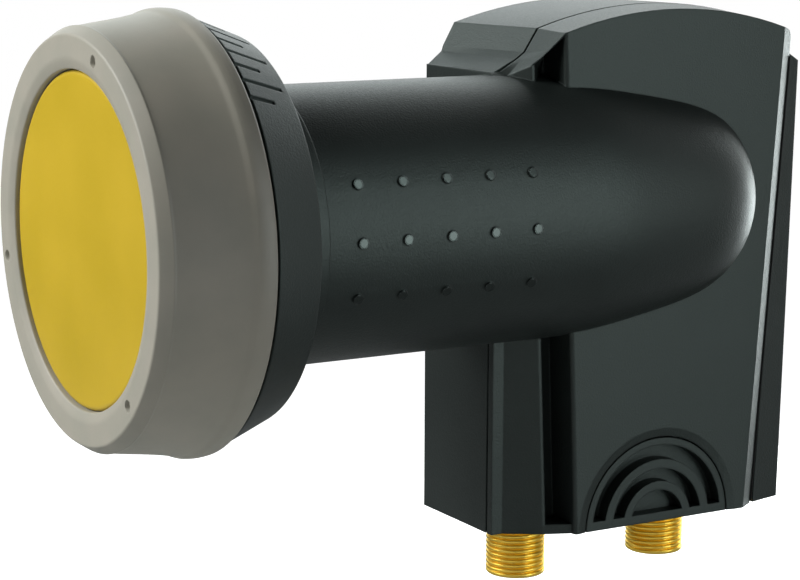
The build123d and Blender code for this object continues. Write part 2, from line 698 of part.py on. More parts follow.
def feed_horn():
    """Die casting: corrugated horn, round waveguide and the chassis tray in one piece."""
    mouth_x = SLEEVE_X
    casting = tray_pocket(0, TRAY_FLOOR_Y, TRAY_RIM_Y)
    casting -= tray_pocket(TRAY_WALL + TRAY_LEDGE, TRAY_FLOOR_Y + TRAY_FLOOR, BOARD_Y)
    casting -= tray_pocket(TRAY_WALL, BOARD_Y, TRAY_RIM_Y)
    for x, z in BOSSES:
        casting += rod_y(x, z, BOSS_R, TRAY_FLOOR_Y, TRAY_RIM_Y)
    hump_x0 = HORIZONTAL_PROBE_X - HUMP_WIDTH / 2
    hump_x1 = HORIZONTAL_PROBE_X + HUMP_WIDTH / 2
    casting += block(hump_x0, hump_x1, HUMP_Y, TRAY_FLOOR_Y, GUIDE_R, HUMP_TOP_Z)
    casting += turned(
        (mouth_x, 0),
        (mouth_x, HORN_RIM_R),
        (HORN_SEAT_X, HORN_RIM_R),
        (HORN_SEAT_X, HORN_RIM_R - WALL - FIT),
        (HORN_THROAT_X, GUIDE_OUTER_R),
        (GUIDE_END_X + GUIDE_CAP, GUIDE_OUTER_R),
        (GUIDE_END_X + GUIDE_CAP, 0),
    )
    casting -= turned(
        (mouth_x, 0),
        (mouth_x, HORN_MOUTH_R),
        (HORN_THROAT_X, GUIDE_R),
        (GUIDE_END_X, GUIDE_R),
        (GUIDE_END_X, 0),
    )
    for inner, outer in HORN_GROOVES:
        casting -= turned(
            (mouth_x, inner),
            (mouth_x, outer),
            (mouth_x + HORN_GROOVE_DEPTH, outer),
            (mouth_x + HORN_GROOVE_DEPTH, inner),
        )
    casting -= block(
        hump_x0 + TRAY_WALL,
        hump_x1 - TRAY_WALL,
        HUMP_Y + TRAY_WALL,
        TRAY_FLOOR_Y + TRAY_FLOOR,
        GUIDE_OUTER_R,
        HUMP_TOP_Z - TRAY_WALL,
    )
    casting -= rod_y(VERTICAL_PROBE_X, 0, BEAD_R, GUIDE_R - WALL, GUIDE_OUTER_R)
    casting -= rod_z(HORIZONTAL_PROBE_X, 0, BEAD_R, GUIDE_R - WALL, GUIDE_OUTER_R)
    casting -= rod_y(BAR_X, 0, BAR_R, -GUIDE_OUTER_R, GUIDE_OUTER_R)
    for x, z in BOSSES:
        casting -= rod_y(x, z, SCREW_R, LID_TOP_Y - SCREW_LENGTH, TRAY_RIM_Y)
    for x in PORTS_X:
        casting -= rod_z(x, PORT_Y, PORT_SPIGOT_R, TRAY_Z0, TRAY_Z0 + PORT_SPIGOT)
        casting -= rod_z(x, PORT_Y, BEAD_R, TRAY_Z0, TRAY_Z0 + TRAY_WALL + TRAY_LEDGE)
    return casting


def lid_gasket():
    ring = tray_pocket(0, TRAY_RIM_Y, LID_Y) - tray_pocket(TRAY_WALL, TRAY_RIM_Y, LID_Y)
    for x, z in BOSSES:
        ring += rod_y(x, z, BOSS_R, TRAY_RIM_Y, LID_Y)
        ring -= rod_y(x, z, SCREW_R + HOLE_CLEAR, TRAY_RIM_Y, LID_Y)
    return ring


def chassis_lid():
    lid = tray_pocket(0, LID_Y, LID_TOP_Y)
    for x, z in BOSSES:
        lid -= rod_y(x, z, SCREW_R + HOLE_CLEAR, LID_Y, LID_TOP_Y)
    return lid


def lid_screws():
    screws = []
    for x, z in BOSSES:
        screw = rod_y(x, z, SCREW_HEAD_R, LID_TOP_Y, LID_TOP_Y + SCREW_HEAD)
        screw += rod_y(x, z, SCREW_R, LID_TOP_Y, LID_TOP_Y - SCREW_LENGTH)
        screws.append(screw)
    return Compound(children=screws)


def absorber_pad():
    """Soft pad on the lid's inside, over the mixer chip."""
    x = TRAY_X0 + CHIP_AT[0]
    z = TRAY_Z0 + CHIP_AT[1]
    return block(x - PAD_W / 2, x + PAD_W / 2, LID_Y - PAD_T, LID_Y, z - PAD_W / 2, z + PAD_W / 2)


def circuit_board():
    board = tray_pocket(TRAY_WALL + BOARD_CLEAR, BOARD_Y, BOARD_TOP_Y)
    for x, z in BOSSES:
        board -= rod_y(x, z, BOSS_R + BOARD_CLEAR, BOARD_Y, BOARD_TOP_Y)
    board -= rod_y(VERTICAL_PROBE_X, 0, PROBE_R, BOARD_Y, BOARD_TOP_Y)
    board -= rod_y(HORIZONTAL_PROBE_X, HORIZONTAL_PROBE_Z, PROBE_R, BOARD_Y, BOARD_TOP_Y)
    return board


def on_board(size, at):
    """Component body on the far face of the board."""
    x = TRAY_X0 + at[0]
    z = TRAY_Z0 + at[1]
    width, height, depth = size
    return block(
        x - width / 2, x + width / 2, BOARD_TOP_Y, BOARD_TOP_Y + depth, z - height / 2, z + height / 2
    )


def vertical_probe():
    return rod_y(VERTICAL_PROBE_X, 0, PROBE_R, PROBE_TIP, BOARD_TOP_Y + PROBE_HEAD)


def horizontal_probe():
    """Pin that leaves the board, turns through a right angle and enters the waveguide from above."""
    stem = rod_y(HORIZONTAL_PROBE_X, HORIZONTAL_PROBE_Z, PROBE_R, -PROBE_R, BOARD_TOP_Y + PROBE_HEAD)
    return stem + rod_z(HORIZONTAL_PROBE_X, 0, PROBE_R, PROBE_TIP, HORIZONTAL_PROBE_Z)


def vertical_bead():
    bead = rod_y(VERTICAL_PROBE_X, 0, BEAD_R, GUIDE_R, GUIDE_OUTER_R)
    return bead - rod_y(VERTICAL_PROBE_X, 0, PROBE_R, GUIDE_R, GUIDE_OUTER_R)


def horizontal_bead():
    bead = rod_z(HORIZONTAL_PROBE_X, 0, BEAD_R, GUIDE_R, GUIDE_OUTER_R)
    return bead - rod_z(HORIZONTAL_PROBE_X, 0, PROBE_R, GUIDE_R, GUIDE_OUTER_R)


def isolation_bar():
    return rod_y(BAR_X, 0, BAR_R, -GUIDE_OUTER_R + FIT, GUIDE_OUTER_R - FIT)


def port_body(x):
    """F port: threaded barrel, shoulder on the chassis and spigot in its wall."""
    shoulder_z = TRAY_Z0 - PORT_SHOULDER
    body = rod_z(x, PORT_Y, PORT_R, PORT_END_Z, FOOT_Z)
    body = chamfer(body.edges().group_by(Axis.Z)[0], PORT_LEAD)
    body += rod_z(x, PORT_Y, PORT_ROOT_R, FOOT_Z, shoulder_z)
    body += rod_z(x, PORT_Y, PORT_SHOULDER_R, shoulder_z, TRAY_Z0)
    body += rod_z(x, PORT_Y, PORT_SPIGOT_R, TRAY_Z0, TRAY_Z0 + PORT_SPIGOT)
    return body - rod_z(x, PORT_Y, PORT_BORE_R, PORT_END_Z, TRAY_Z0 + PORT_SPIGOT)


def port_insulator(x):
    z0, z1 = PORT_END_Z + INSULATOR_SET_BACK, TRAY_Z0 + PORT_SPIGOT
    return rod_z(x, PORT_Y, PORT_BORE_R, z0, z1) - rod_z(x, PORT_Y, CONTACT_R, z0, z1)


def port_contact(x):
    z0 = PORT_END_Z + INSULATOR_SET_BACK
    pin = rod_z(x, PORT_Y, CONTACT_R, z0, TRAY_Z0 + CONTACT_RISE)
    return pin - rod_z(x, PORT_Y, CONTACT_HOLE_R, z0, z0 + CONTACT_HOLE)


def port_seal(x):
    z0, z1 = SHELL_FLOOR_Z, SHELL_FLOOR_Z + PORT_SEAL
    outer_r = PORT_ROOT_R + PORT_SEAL_WIDTH
    return rod_z(x, PORT_Y, outer_r, z0, z1) - rod_z(x, PORT_Y, PORT_ROOT_R, z0, z1)


nodes = {
    "cap_ring": cap_ring(),
    "window": window(),
    "cap_seal": cap_seal(),
    "skew_collar": skew_collar(),
    "near_shell": near_shell(),
    "far_shell": far_shell(),
    "arch_insert": arch_insert(),
    "feed_horn": feed_horn(),
    "chassis_lid": chassis_lid(),
    "lid_gasket": lid_gasket(),
    "lid_screws": lid_screws(),
    "absorber_pad": absorber_pad(),
    "circuit_board": circuit_board(),
    "mixer_chip": on_board(CHIP, CHIP_AT),
    "reference_crystal": on_board(CRYSTAL, CRYSTAL_AT),
    "regulators": Compound(children=[on_board(REGULATOR, at) for at in REGULATORS_AT]),
    "lna_transistors": Compound(children=[on_board(TRANSISTOR, at) for at in TRANSISTORS_AT]),
    "vertical_probe": vertical_probe(),
    "horizontal_probe": horizontal_probe(),
    "vertical_bead": vertical_bead(),
    "horizontal_bead": horizontal_bead(),
    "isolation_bar": isolation_bar(),
}
for number, port_x in enumerate(PORTS_X, start=1):
    nodes[f"port_{number}_body"] = port_body(port_x)
    nodes[f"port_{number}_insulator"] = port_insulator(port_x)
    nodes[f"port_{number}_contact"] = port_contact(port_x)
    nodes[f"port_{number}_seal"] = port_seal(port_x)

os.makedirs("parts", exist_ok=True)
for name, solid in nodes.items():
    export_step(solid, f"parts/{name}.step")
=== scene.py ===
# %% [markdown]
# # A satellite LNB, dressed for its portrait
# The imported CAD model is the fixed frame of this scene. Everything here is in metres and in the CAD's own
# axes: X along the neck, Z up, and the origin in the middle of the zone that a dish arm grips. A new piece
# only has to be drawn where the CAD says it is.

# %% Load the frame
import json
import math

import bpy
import bmesh
import numpy as np
from mathutils import Matrix, Vector


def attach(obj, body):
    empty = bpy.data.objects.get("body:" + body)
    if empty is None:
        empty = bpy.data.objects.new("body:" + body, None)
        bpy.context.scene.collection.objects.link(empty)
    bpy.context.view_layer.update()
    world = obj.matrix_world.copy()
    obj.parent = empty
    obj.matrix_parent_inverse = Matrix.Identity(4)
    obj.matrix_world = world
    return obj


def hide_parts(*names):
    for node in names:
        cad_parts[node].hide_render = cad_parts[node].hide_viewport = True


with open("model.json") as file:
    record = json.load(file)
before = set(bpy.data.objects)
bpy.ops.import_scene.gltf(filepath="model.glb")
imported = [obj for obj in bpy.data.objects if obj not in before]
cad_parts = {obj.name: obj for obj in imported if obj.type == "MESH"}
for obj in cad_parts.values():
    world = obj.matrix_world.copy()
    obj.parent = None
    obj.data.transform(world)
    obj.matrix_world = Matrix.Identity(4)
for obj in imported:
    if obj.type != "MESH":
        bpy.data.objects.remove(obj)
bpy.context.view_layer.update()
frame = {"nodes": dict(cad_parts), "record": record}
nodes = frame["nodes"]
scene = bpy.context.scene
MM = 0.001

# %% [markdown]
# ## Camera
# The picture's own geometry gives the camera: a long lens about 1/3 m away, 30 degrees to the left of square
# on and 10 degrees above. The lens is written as a focal length in picture pixels, because that is what a
# measurement on the picture gives, and turned into millimetres for a 36 mm wide sensor.

# %% Camera at the picture's angle
PICTURE_WIDTH = 800
FOCAL_PIXELS = 2323.3
SENSOR = 36.0
NEAR_CLIP = 10 * MM
EYE = Vector((-164.98, -291.23, 48.46)) * MM
BEARING, HEIGHT, ROLL = (math.radians(angle) for angle in (-30.01, 10.02, 0.23))

level = math.cos(HEIGHT)
to_eye = Vector((math.sin(BEARING) * level, -math.cos(BEARING) * level, math.sin(HEIGHT)))
level_right = (-to_eye).cross(Vector((0, 0, 1))).normalized()
level_up = level_right.cross(-to_eye)
right = math.cos(ROLL) * level_right + math.sin(ROLL) * level_up
up = math.cos(ROLL) * level_up - math.sin(ROLL) * level_right

lens = bpy.data.cameras.new("portrait_lens")
lens.sensor_width = SENSOR
lens.lens = FOCAL_PIXELS / PICTURE_WIDTH * SENSOR
lens.clip_start = NEAR_CLIP
camera = bpy.data.objects.new("portrait_camera", lens)
camera.matrix_world = Matrix.Translation(EYE) @ Matrix((right, up, to_eye)).transposed().to_4x4()
scene.collection.objects.link(camera)
scene.camera = camera
print("lens", round(lens.lens, 1), "mm")

# %% [markdown]
# ## Studio
# Dark satin plastic shows its shape almost only by what it mirrors, so the studio is built as a set of things
# to mirror: white paper, soft lamps and narrow cards. Shaders are built from nodes, and one helper adds a
# node, sets its fixed values and links the rest.

# %% A helper for shader nodes


def add(tree, kind, sockets=None, operation=None):
    """Add one shader node; each entry of sockets is a fixed value or another node's output to link."""
    node = tree.nodes.new("ShaderNode" + kind)
    if operation:
        node.operation = operation
    for key, value in (sockets or {}).items():
        if isinstance(value, bpy.types.NodeSocket):
            tree.links.new(value, node.inputs[key])
        else:
            node.inputs[key].default_value = value
    return node


# %% [markdown]
# White paper hangs behind the part on the right and gives the bright rims. The camera sees white everywhere.
# Mirrored rays see white too, but only where the paper hangs, which is what keeps the other sides of the
# plastic dark. For all other rays the room is almost dark, so the lamps alone light the part.

# %% White paper and the room
PAPER_MIDDLE = (0.82, 0.57, 0.0)
PAPER_EDGE, PAPER_FULL = 0.55, 0.80
ROOM_TINT, ROOM_GLOW = (0.95, 0.98, 1, 1), 0.02


def paper(tree, direction):
    """How much of the paper shows in a direction, by the cosine between it and the paper's middle: 1 beyond
    PAPER_FULL, 0 below PAPER_EDGE, and a smooth step between them."""
    towards = add(tree, "VectorMath", {0: direction, 1: PAPER_MIDDLE}, "DOT_PRODUCT").outputs["Value"]
    shown = add(tree, "MapRange", {"Value": towards, "From Min": PAPER_EDGE, "From Max": PAPER_FULL})
    shown.interpolation_type = "SMOOTHSTEP"
    return shown.outputs[0]


scene.view_settings.view_transform = "Standard"
scene.world = bpy.data.worlds.new("white_studio")
scene.world.use_nodes = True
room = scene.world.node_tree
room.nodes.clear()
rays = add(room, "LightPath").outputs
direction = add(room, "TexCoord").outputs["Generated"]
mirrored = add(room, "Math", {0: rays["Is Glossy Ray"], 1: paper(room, direction)}, "MULTIPLY")
straight = add(room, "Math", {0: rays["Is Camera Ray"], 1: rays["Is Transmission Ray"]}, "MAXIMUM")
is_white = add(room, "Math", {0: straight.outputs[0], 1: mirrored.outputs[0]}, "MAXIMUM")
white = add(room, "Background", {"Color": (1, 1, 1, 1), "Strength": 1.0})
dim = add(room, "Background", {"Color": ROOM_TINT, "Strength": ROOM_GLOW})
either = add(room, "MixShader", {0: is_white.outputs[0], 1: dim.outputs[0], 2: white.outputs[0]})
add(room, "OutputWorld", {"Surface": either.outputs[0]})
print("room nodes:", len(room.nodes))

# %% [markdown]
# A large lamp high on the left lights the window and the ring's front, and a weak one low on the left the
# ring's side. One behind lights the tops, and two on the right brighten the rims. The panel in front on the
# right is what the flat side and the neck mirror. Two cards light nothing and are only mirrored: a tall strip
# for the dots' tops, and a low card for the gold ports.

# %% Lamps
WHITE, COOL = (1.0, 1.0, 1.0), (0.91, 1.0, 1.0)
MIDDLE = (0.01, 0.0, -0.01)
PORTS = (0.04, 0.0, -0.06)


def panel(name, place, aim, size, watts, colour=WHITE, mirrored_only=False):
    """A rectangular soft lamp of size (wide, high) at place, facing aim, in metres; mirrored_only makes it a
    card that shows in gloss and lights nothing else."""
    lamp = bpy.data.lights.new(name, "AREA")
    lamp.shape = "RECTANGLE"
    lamp.size, lamp.size_y = size
    lamp.energy = watts
    lamp.color = colour
    holder = bpy.data.objects.new(name, lamp)
    holder.location = place
    holder.rotation_euler = (Vector(aim) - Vector(place)).to_track_quat("-Z", "Y").to_euler()
    holder.visible_diffuse = not mirrored_only
    scene.collection.objects.link(holder)


panel("high_left", (-0.53, 0.25, 0.37), MIDDLE, (0.4, 0.4), 6.2)
panel("low_left", (-0.50, -0.20, -0.16), MIDDLE, (0.4, 0.16), 0.2)
panel("behind_top", (0.18, 0.57, 0.33), MIDDLE, (0.6, 0.4), 1.5, COOL)
panel("low_right", (0.605, 0.305, -0.09), MIDDLE, (0.45, 0.2), 3.0, COOL)
panel("high_right", (0.60, 0.30, 0.25), MIDDLE, (0.4, 0.3), 0.9, COOL)
panel("front_right", (0.42, -0.62, 0.10), MIDDLE, (0.5, 0.5), 0.92)
panel("front_strip", (0.20, -0.36, 0.07), MIDDLE, (0.09, 0.52), 0.72, COOL, mirrored_only=True)
panel("port_card", (-0.20, -0.38, -0.085), PORTS, (0.5, 0.055), 0.22, mirrored_only=True)

# %% [markdown]
# ## Floor
# The floor is a pale sheet well below the part, which hangs in its clamp. One helper makes a mesh from any
# grid of points, and the floor is its smallest use: a grid of two by two.

# %% Floor
FLOOR_Z = -0.2
FLOOR_HALF = 1.5


def grid_mesh(name, points, wrap_u=False, wrap_v=False):
    """A mesh over a grid of points (rows u, columns v, xyz in metres): each square of the grid is one face.
    wrap_u joins the last row to the first, wrap_v the last column to the first."""
    rows, columns = points.shape[:2]
    index = np.arange(rows * columns).reshape(rows, columns)
    if wrap_u:
        index = np.vstack([index, index[:1]])
    if wrap_v:
        index = np.hstack([index, index[:, :1]])
    quads = np.stack([index[:-1, :-1], index[1:, :-1], index[1:, 1:], index[:-1, 1:]], axis=-1)
    mesh = bpy.data.meshes.new(name)
    mesh.from_pydata(points.reshape(-1, 3).tolist(), [], quads.reshape(-1, 4).tolist())
    mesh.update()
    return mesh


across, along = np.meshgrid([-FLOOR_HALF, FLOOR_HALF], [-FLOOR_HALF, FLOOR_HALF], indexing="ij")
floor_points = np.stack([across, along, np.full_like(across, FLOOR_Z)], axis=-1)
floor = bpy.data.objects.new("studio_floor", grid_mesh("studio_floor", floor_points))
scene.collection.objects.link(floor)
print("floor at", FLOOR_Z, "m")

# %% [markdown]
# Close to the part the floor shows mostly its own lit colour, so it keeps the shadow; farther off it glows
# white for the camera, and for mirrored rays where the paper runs up behind. Near by, mirrored rays see the
# floor greyer than it is, which keeps the plastic's underside dark.

# %% Floor paper
FLOOR_GREY, MIRRORED_GREY = 0.56, 0.30
GLOW_NEAR, GLOW_FAR, GLOW_LOW = 0.2, 0.5, 0.3
BEHIND_NEAR, BEHIND_FAR = 0.6, 1.0
paint = bpy.data.materials.new("floor_paper")
paint.use_nodes = True
tree = paint.node_tree
tree.nodes.clear()
rays = add(tree, "LightPath").outputs
spot = add(tree, "TexCoord").outputs["Object"]
distance = add(tree, "VectorMath", {0: spot}, "LENGTH").outputs["Value"]
bearing = add(tree, "VectorMath", {0: spot}, "NORMALIZE").outputs["Vector"]
own_glow = add(
    tree, "MapRange", {"Value": distance, "From Min": GLOW_NEAR, "From Max": GLOW_FAR, "To Min": GLOW_LOW}
)
far_off = add(tree, "MapRange", {"Value": distance, "From Min": BEHIND_NEAR, "From Max": BEHIND_FAR})
behind = add(tree, "Math", {0: far_off.outputs[0], 1: paper(tree, bearing)}, "MULTIPLY")
to_camera = add(tree, "Math", {0: rays["Is Camera Ray"], 1: own_glow.outputs[0]}, "MULTIPLY")
to_gloss = add(tree, "Math", {0: rays["Is Glossy Ray"], 1: behind.outputs[0]}, "MULTIPLY")
strength = add(tree, "Math", {0: to_camera.outputs[0], 1: to_gloss.outputs[0]}, "MAXIMUM")
glow = add(tree, "Emission", {"Strength": strength.outputs[0]})
grey = add(tree, "MapRange", {"Value": rays["Is Glossy Ray"], "To Min": FLOOR_GREY, "To Max": MIRRORED_GREY})
matt = add(tree, "BsdfDiffuse", {"Color": grey.outputs[0]})
both = add(tree, "AddShader", {0: matt.outputs[0], 1: glow.outputs[0]})
add(tree, "OutputMaterial", {"Surface": both.outputs[0]})
floor.data.materials.append(paint)
print("floor paper nodes:", len(tree.nodes))

# %% [markdown]
# ## Finishes
# Every finish starts from the same bench: a Principled shader whose colour drifts a little over the piece,
# whose gloss is broken up by a finer grain, and whose surface has that grain as a small bump. Textures read
# Object coordinates, so they have one real scale on every piece, in metres.

# %% The finish bench
RAMP_LOW, RAMP_HIGH = 0.3, 0.7
DRIFT_DETAIL, GRAIN_DETAIL = 3.0, 4.0


def finish(name, low, high, gloss, drift, grain, bump, metal=0.0, specular=0.5, edge=0.0, tint=WHITE):
    """A material: colour between low and high by a noise of size drift, roughness around gloss and a bump of
    depth bump, both by a noise of size grain, mirrored light coloured by tint, and edges that look eased by
    the radius edge. Sizes are in millimetres."""
    material = bpy.data.materials.new(name)
    material.use_nodes = True
    tree = material.node_tree
    shader = tree.nodes["Principled BSDF"]
    shader.inputs["Metallic"].default_value = metal
    shader.inputs["Specular IOR Level"].default_value = specular
    shader.inputs["Specular Tint"].default_value = (*tint, 1)
    spot = add(tree, "TexCoord").outputs["Object"]
    slow = add(tree, "TexNoise", {"Vector": spot, "Scale": 1 / (drift * MM), "Detail": DRIFT_DETAIL})
    fine = add(tree, "TexNoise", {"Vector": spot, "Scale": 1 / (grain * MM), "Detail": GRAIN_DETAIL})
    shade = add(tree, "ValToRGB", {0: slow.outputs["Fac"]})
    dark_end, light_end = shade.color_ramp.elements
    dark_end.position, light_end.position = RAMP_LOW, RAMP_HIGH
    dark_end.color, light_end.color = (*low, 1), (*high, 1)
    tree.links.new(shade.outputs[0], shader.inputs["Base Color"])
    rough = add(tree, "MapRange", {"Value": fine.outputs["Fac"], "To Min": gloss[0], "To Max": gloss[1]})
    tree.links.new(rough.outputs[0], shader.inputs["Roughness"])
    relief = add(tree, "Bump", {"Strength": 1.0, "Distance": bump * MM, "Height": fine.outputs["Fac"]})
    tree.links.new(relief.outputs[0], shader.inputs["Normal"])
    if edge:
        ease = add(tree, "Bevel", {"Radius": edge * MM})
        tree.links.new(ease.outputs[0], relief.inputs["Normal"])
    return material


# %% [markdown]
# Each row is a finish of the record: its darkest and lightest colour, its range of roughness, the sizes of
# drift and grain, and the depth of the bump. The black plastic mirrors light with a slight green tint, as it
# looks in the picture. Its edges look eased by about a third of a millimetre, because the CAD's are mostly
# sharp and a moulding's never are.

# %% The ten finishes
rows = {
    "black_plastic": ((0.0085, 0.0115, 0.0105), (0.0115, 0.0150, 0.0140), (0.38, 0.58), 9.0, 0.30, 0.050),
    "ring_plastic": ((0.325, 0.318, 0.264), (0.365, 0.346, 0.288), (0.45, 0.60), 7.0, 0.25, 0.008),
    "window_plastic": ((0.485, 0.341, 0.015), (0.58, 0.403, 0.027), (0.34, 0.44), 24.0, 0.4, 0.003),
    # seal_rubber also colours the bead in the rear joint, a near-black piece that is painted shade
    "seal_rubber": ((0.004, 0.004, 0.004), (0.007, 0.007, 0.007), (0.7, 0.9), 3.0, 0.3, 0.01),
    "casting": ((0.50, 0.51, 0.52), (0.60, 0.61, 0.62), (0.35, 0.6), 5.0, 0.5, 0.03),
    "steel": ((0.52, 0.52, 0.52), (0.62, 0.62, 0.62), (0.25, 0.4), 2.0, 0.2, 0.004),
    "board": ((0.012, 0.10, 0.030), (0.018, 0.13, 0.040), (0.25, 0.4), 2.5, 0.3, 0.01),
    "chip_plastic": ((0.018, 0.018, 0.020), (0.026, 0.026, 0.028), (0.45, 0.6), 1.0, 0.1, 0.006),
    "bead_plastic": ((0.74, 0.73, 0.70), (0.80, 0.79, 0.76), (0.4, 0.5), 2.0, 0.2, 0.002),
    "gilt": ((0.97, 0.67, 0.10), (1.0, 0.72, 0.125), (0.36, 0.48), 1.5, 0.6, 0.002),
}
extras = {
    "black_plastic": {"edge": 0.35, "tint": (0.84, 1.0, 0.95)},
    "window_plastic": {"specular": 0.3},
    "seal_rubber": {"specular": 0.15},
    "casting": {"metal": 1.0},
    "steel": {"metal": 1.0},
    "gilt": {"metal": 1.0},
}
finishes = {name: finish(name, *row, **extras.get(name, {})) for name, row in rows.items()}
for row in frame["record"]["subparts"]:
    holder = nodes[row["node"]]
    holder.data.materials.clear()
    holder.data.materials.append(finishes[row["material_slot"]])
print("finishes:", len(finishes))

# %% [markdown]
# The grip dots, fifteen on each side, get smooth tops where the neck is grained, as if polished pins in the
# mould had formed them. They need no piece of their own: a point belongs to a dot's top when it is farther
# from the neck's axis than the neck's surface, and inside the grip zone.

# %% Polished dot tops
DOT_FOOT, DOT_TOP = 20.27 * MM, 20.33 * MM
DOT_ZONE = 16.5 * MM
DOT_GLOSS = 0.20


def polish_dots(material):
    """Smooth the dots' tops by a mask of the distance from the X axis: 0 within DOT_FOOT, 1 beyond DOT_TOP,
    and 0 again where |x| is DOT_ZONE or more."""
    tree = material.node_tree
    shader, relief = tree.nodes["Principled BSDF"], tree.nodes["Bump"]
    spot = add(tree, "TexCoord").outputs["Object"]
    off_axis = add(tree, "VectorMath", {0: spot, 1: (0, 1, 1)}, "MULTIPLY").outputs[0]
    radius = add(tree, "VectorMath", {0: off_axis}, "LENGTH").outputs["Value"]
    proud = add(tree, "MapRange", {"Value": radius, "From Min": DOT_FOOT, "From Max": DOT_TOP})
    sides = add(tree, "SeparateXYZ", {0: spot})
    from_middle = add(tree, "Math", {0: sides.outputs["X"]}, "ABSOLUTE")
    in_zone = add(tree, "Math", {0: from_middle.outputs[0], 1: DOT_ZONE}, "LESS_THAN")
    mask = add(tree, "Math", {0: proud.outputs[0], 1: in_zone.outputs[0]}, "MULTIPLY")
    grained = shader.inputs["Roughness"].links[0].from_socket
    gloss = add(tree, "Mix", {"Factor": mask.outputs[0], "A": grained, "B": DOT_GLOSS})
    tree.links.new(gloss.outputs["Result"], shader.inputs["Roughness"])
    flat = add(tree, "Math", {0: 1.0, 1: mask.outputs[0]}, "SUBTRACT")
    tree.links.new(flat.outputs[0], relief.inputs["Strength"])


polish_dots(finishes["black_plastic"])
print("black plastic nodes:", len(finishes["black_plastic"].node_tree.nodes))

# %% [markdown]
# ## Turned pieces
# The cap ring, the window and the collar are turned shapes, and so are the port barrels apart from their
# threads. A profile in (along, radius) is swung round an axis; every corner of the profile is eased by a
# short curve, because moulded and plated edges are never sharp and it is the eased edge that catches light.

# %% Profile and sweep helpers
ON_SURFACE = 0.01


def eased(corners, reaches, steps=5):
    """The profile past the inner corners, each cut back by its reach along both sides and bridged by a
    quadratic curve: (1-t)^2 start + 2t(1-t) corner + t^2 end. The first and last corner only give
    directions."""
    corners = np.array(corners, float)
    reaches = np.array(reaches, float)[:, None]
    inner = corners[1:-1]
    to_before, to_after = corners[:-2] - inner, corners[2:] - inner
    start = inner + reaches * to_before / np.linalg.norm(to_before, axis=1, keepdims=True)
    end = inner + reaches * to_after / np.linalg.norm(to_after, axis=1, keepdims=True)
    t = np.linspace(0, 1, steps)[:, None, None]
    curve = (1 - t) ** 2 * start + 2 * t * (1 - t) * inner + t**2 * end
    return curve.transpose(1, 0, 2).reshape(-1, 2)


def fade(value, start, end):
    """0 before start, 1 after end, and a smooth S between them."""
    t = np.clip((value - start) / (end - start), 0, 1)
    return t * t * (3 - 2 * t)


def spread(profile, angle):
    """The profile's two columns, each repeated over the angles: one row for each point of the profile."""
    return np.repeat(profile[:, :1], len(angle), axis=1), np.repeat(profile[:, 1:], len(angle), axis=1)


def about_neck(along, radius, angle):
    """Points round the neck's axis; the angle is from straight up towards the near side."""
    return np.stack([along + 0 * angle, -radius * np.sin(angle), radius * np.cos(angle)], axis=-1) * MM


# %% [markdown]
# A grid becomes a piece in one place. The sign of the volume that it encloses tells whether its faces point
# outward, and the grid is turned round if they do not. Points that fall together at a pole are welded, and
# only edges sharper than the crease angle stay sharp.

# %% From a grid to a piece
WELD = 1e-7
CREASE = math.radians(35.0)


def volume_of(points, wrap_u):
    """Signed volume in cubic metres inside a grid surface that closes along v: the sum over its triangles of
    a . ((b - a) x (c - a)) / 6."""
    grid = np.concatenate([points, points[:1]]) if wrap_u else points
    grid = np.concatenate([grid, grid[:, :1]], axis=1)
    a, b, c, d = grid[:-1, :-1], grid[1:, :-1], grid[1:, 1:], grid[:-1, 1:]
    return (np.cross(b - a, c - a) * a + np.cross(c - a, d - a) * a).sum() / 6


def fit_piece(name, points, slot, wrap_u=True):
    """Make the piece from its grid, closed round the angle, and put it in place of the CAD node of its name;
    a name that is no node's makes an extra piece."""
    if volume_of(points, wrap_u) < 0:
        points = points[::-1]
    mesh = grid_mesh(name + "_skin", points, wrap_u, True)
    weld = bmesh.new()
    weld.from_mesh(mesh)
    bmesh.ops.remove_doubles(weld, verts=weld.verts, dist=WELD)
    weld.to_mesh(mesh)
    weld.free()
    mesh.shade_smooth()
    mesh.set_sharp_from_angle(angle=CREASE)
    thing = bpy.data.objects.new(name + "_skin", mesh)
    scene.collection.objects.link(thing)
    mesh.materials.append(finishes[slot])
    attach(thing, "root")
    if name in nodes:
        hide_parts(name)
    print(name, len(mesh.polygons), "faces,", round(volume_of(points, wrap_u) / MM**3), "mm3")


# %% [markdown]
# ## Cap ring
# A soft grey moulding: a flat front with a bevelled mouth, a narrow facet with a fine ridge at its end, a
# slightly hollow side and a lip that stands up at the rear. The side is one long curve, so it is sampled
# densely, most of all at the ridge, and takes its highlights from the curve.

# %% Ring profile
RING_FRONT, RING_REAR = -47.85, -32.35
MOUTH_R, BEVEL_R, BEVEL_X = 23.3, 24.7, -47.35
FLAT_START_R, FLAT_END_R, FLAT_ROWS, FRONT_EDGE_R = 25.15, 27.6, 26, 28.02
SIDE_START, SIDE_END = -46.25, -34.9
SIDE_R, SIDE_RISE, SIDE_HOLLOW = 29.0, 2.1, 0.6
RIDGE, RIDGE_AT, RIDGE_WIDTH, RIDGE_END, PLAIN_START = 0.11, 0.15, 0.2, -45.5, -45.3
DIP, DIP_START, DIP_FULL, LIP_START = 0.20, -44.0, -37.0, -36.0
LIP_CREST, LIP_CORNER, LIP_END = (-33.9, 31.2), (-32.75, 31.05), (RING_REAR, 30.6)
SLEEVE_R, SLEEVE_END, SEAT_R, SEAT_END = 27.3, -44.1, 25.2, -45.5
RIDGE_ROWS, PLAIN_ROWS = 16, 46

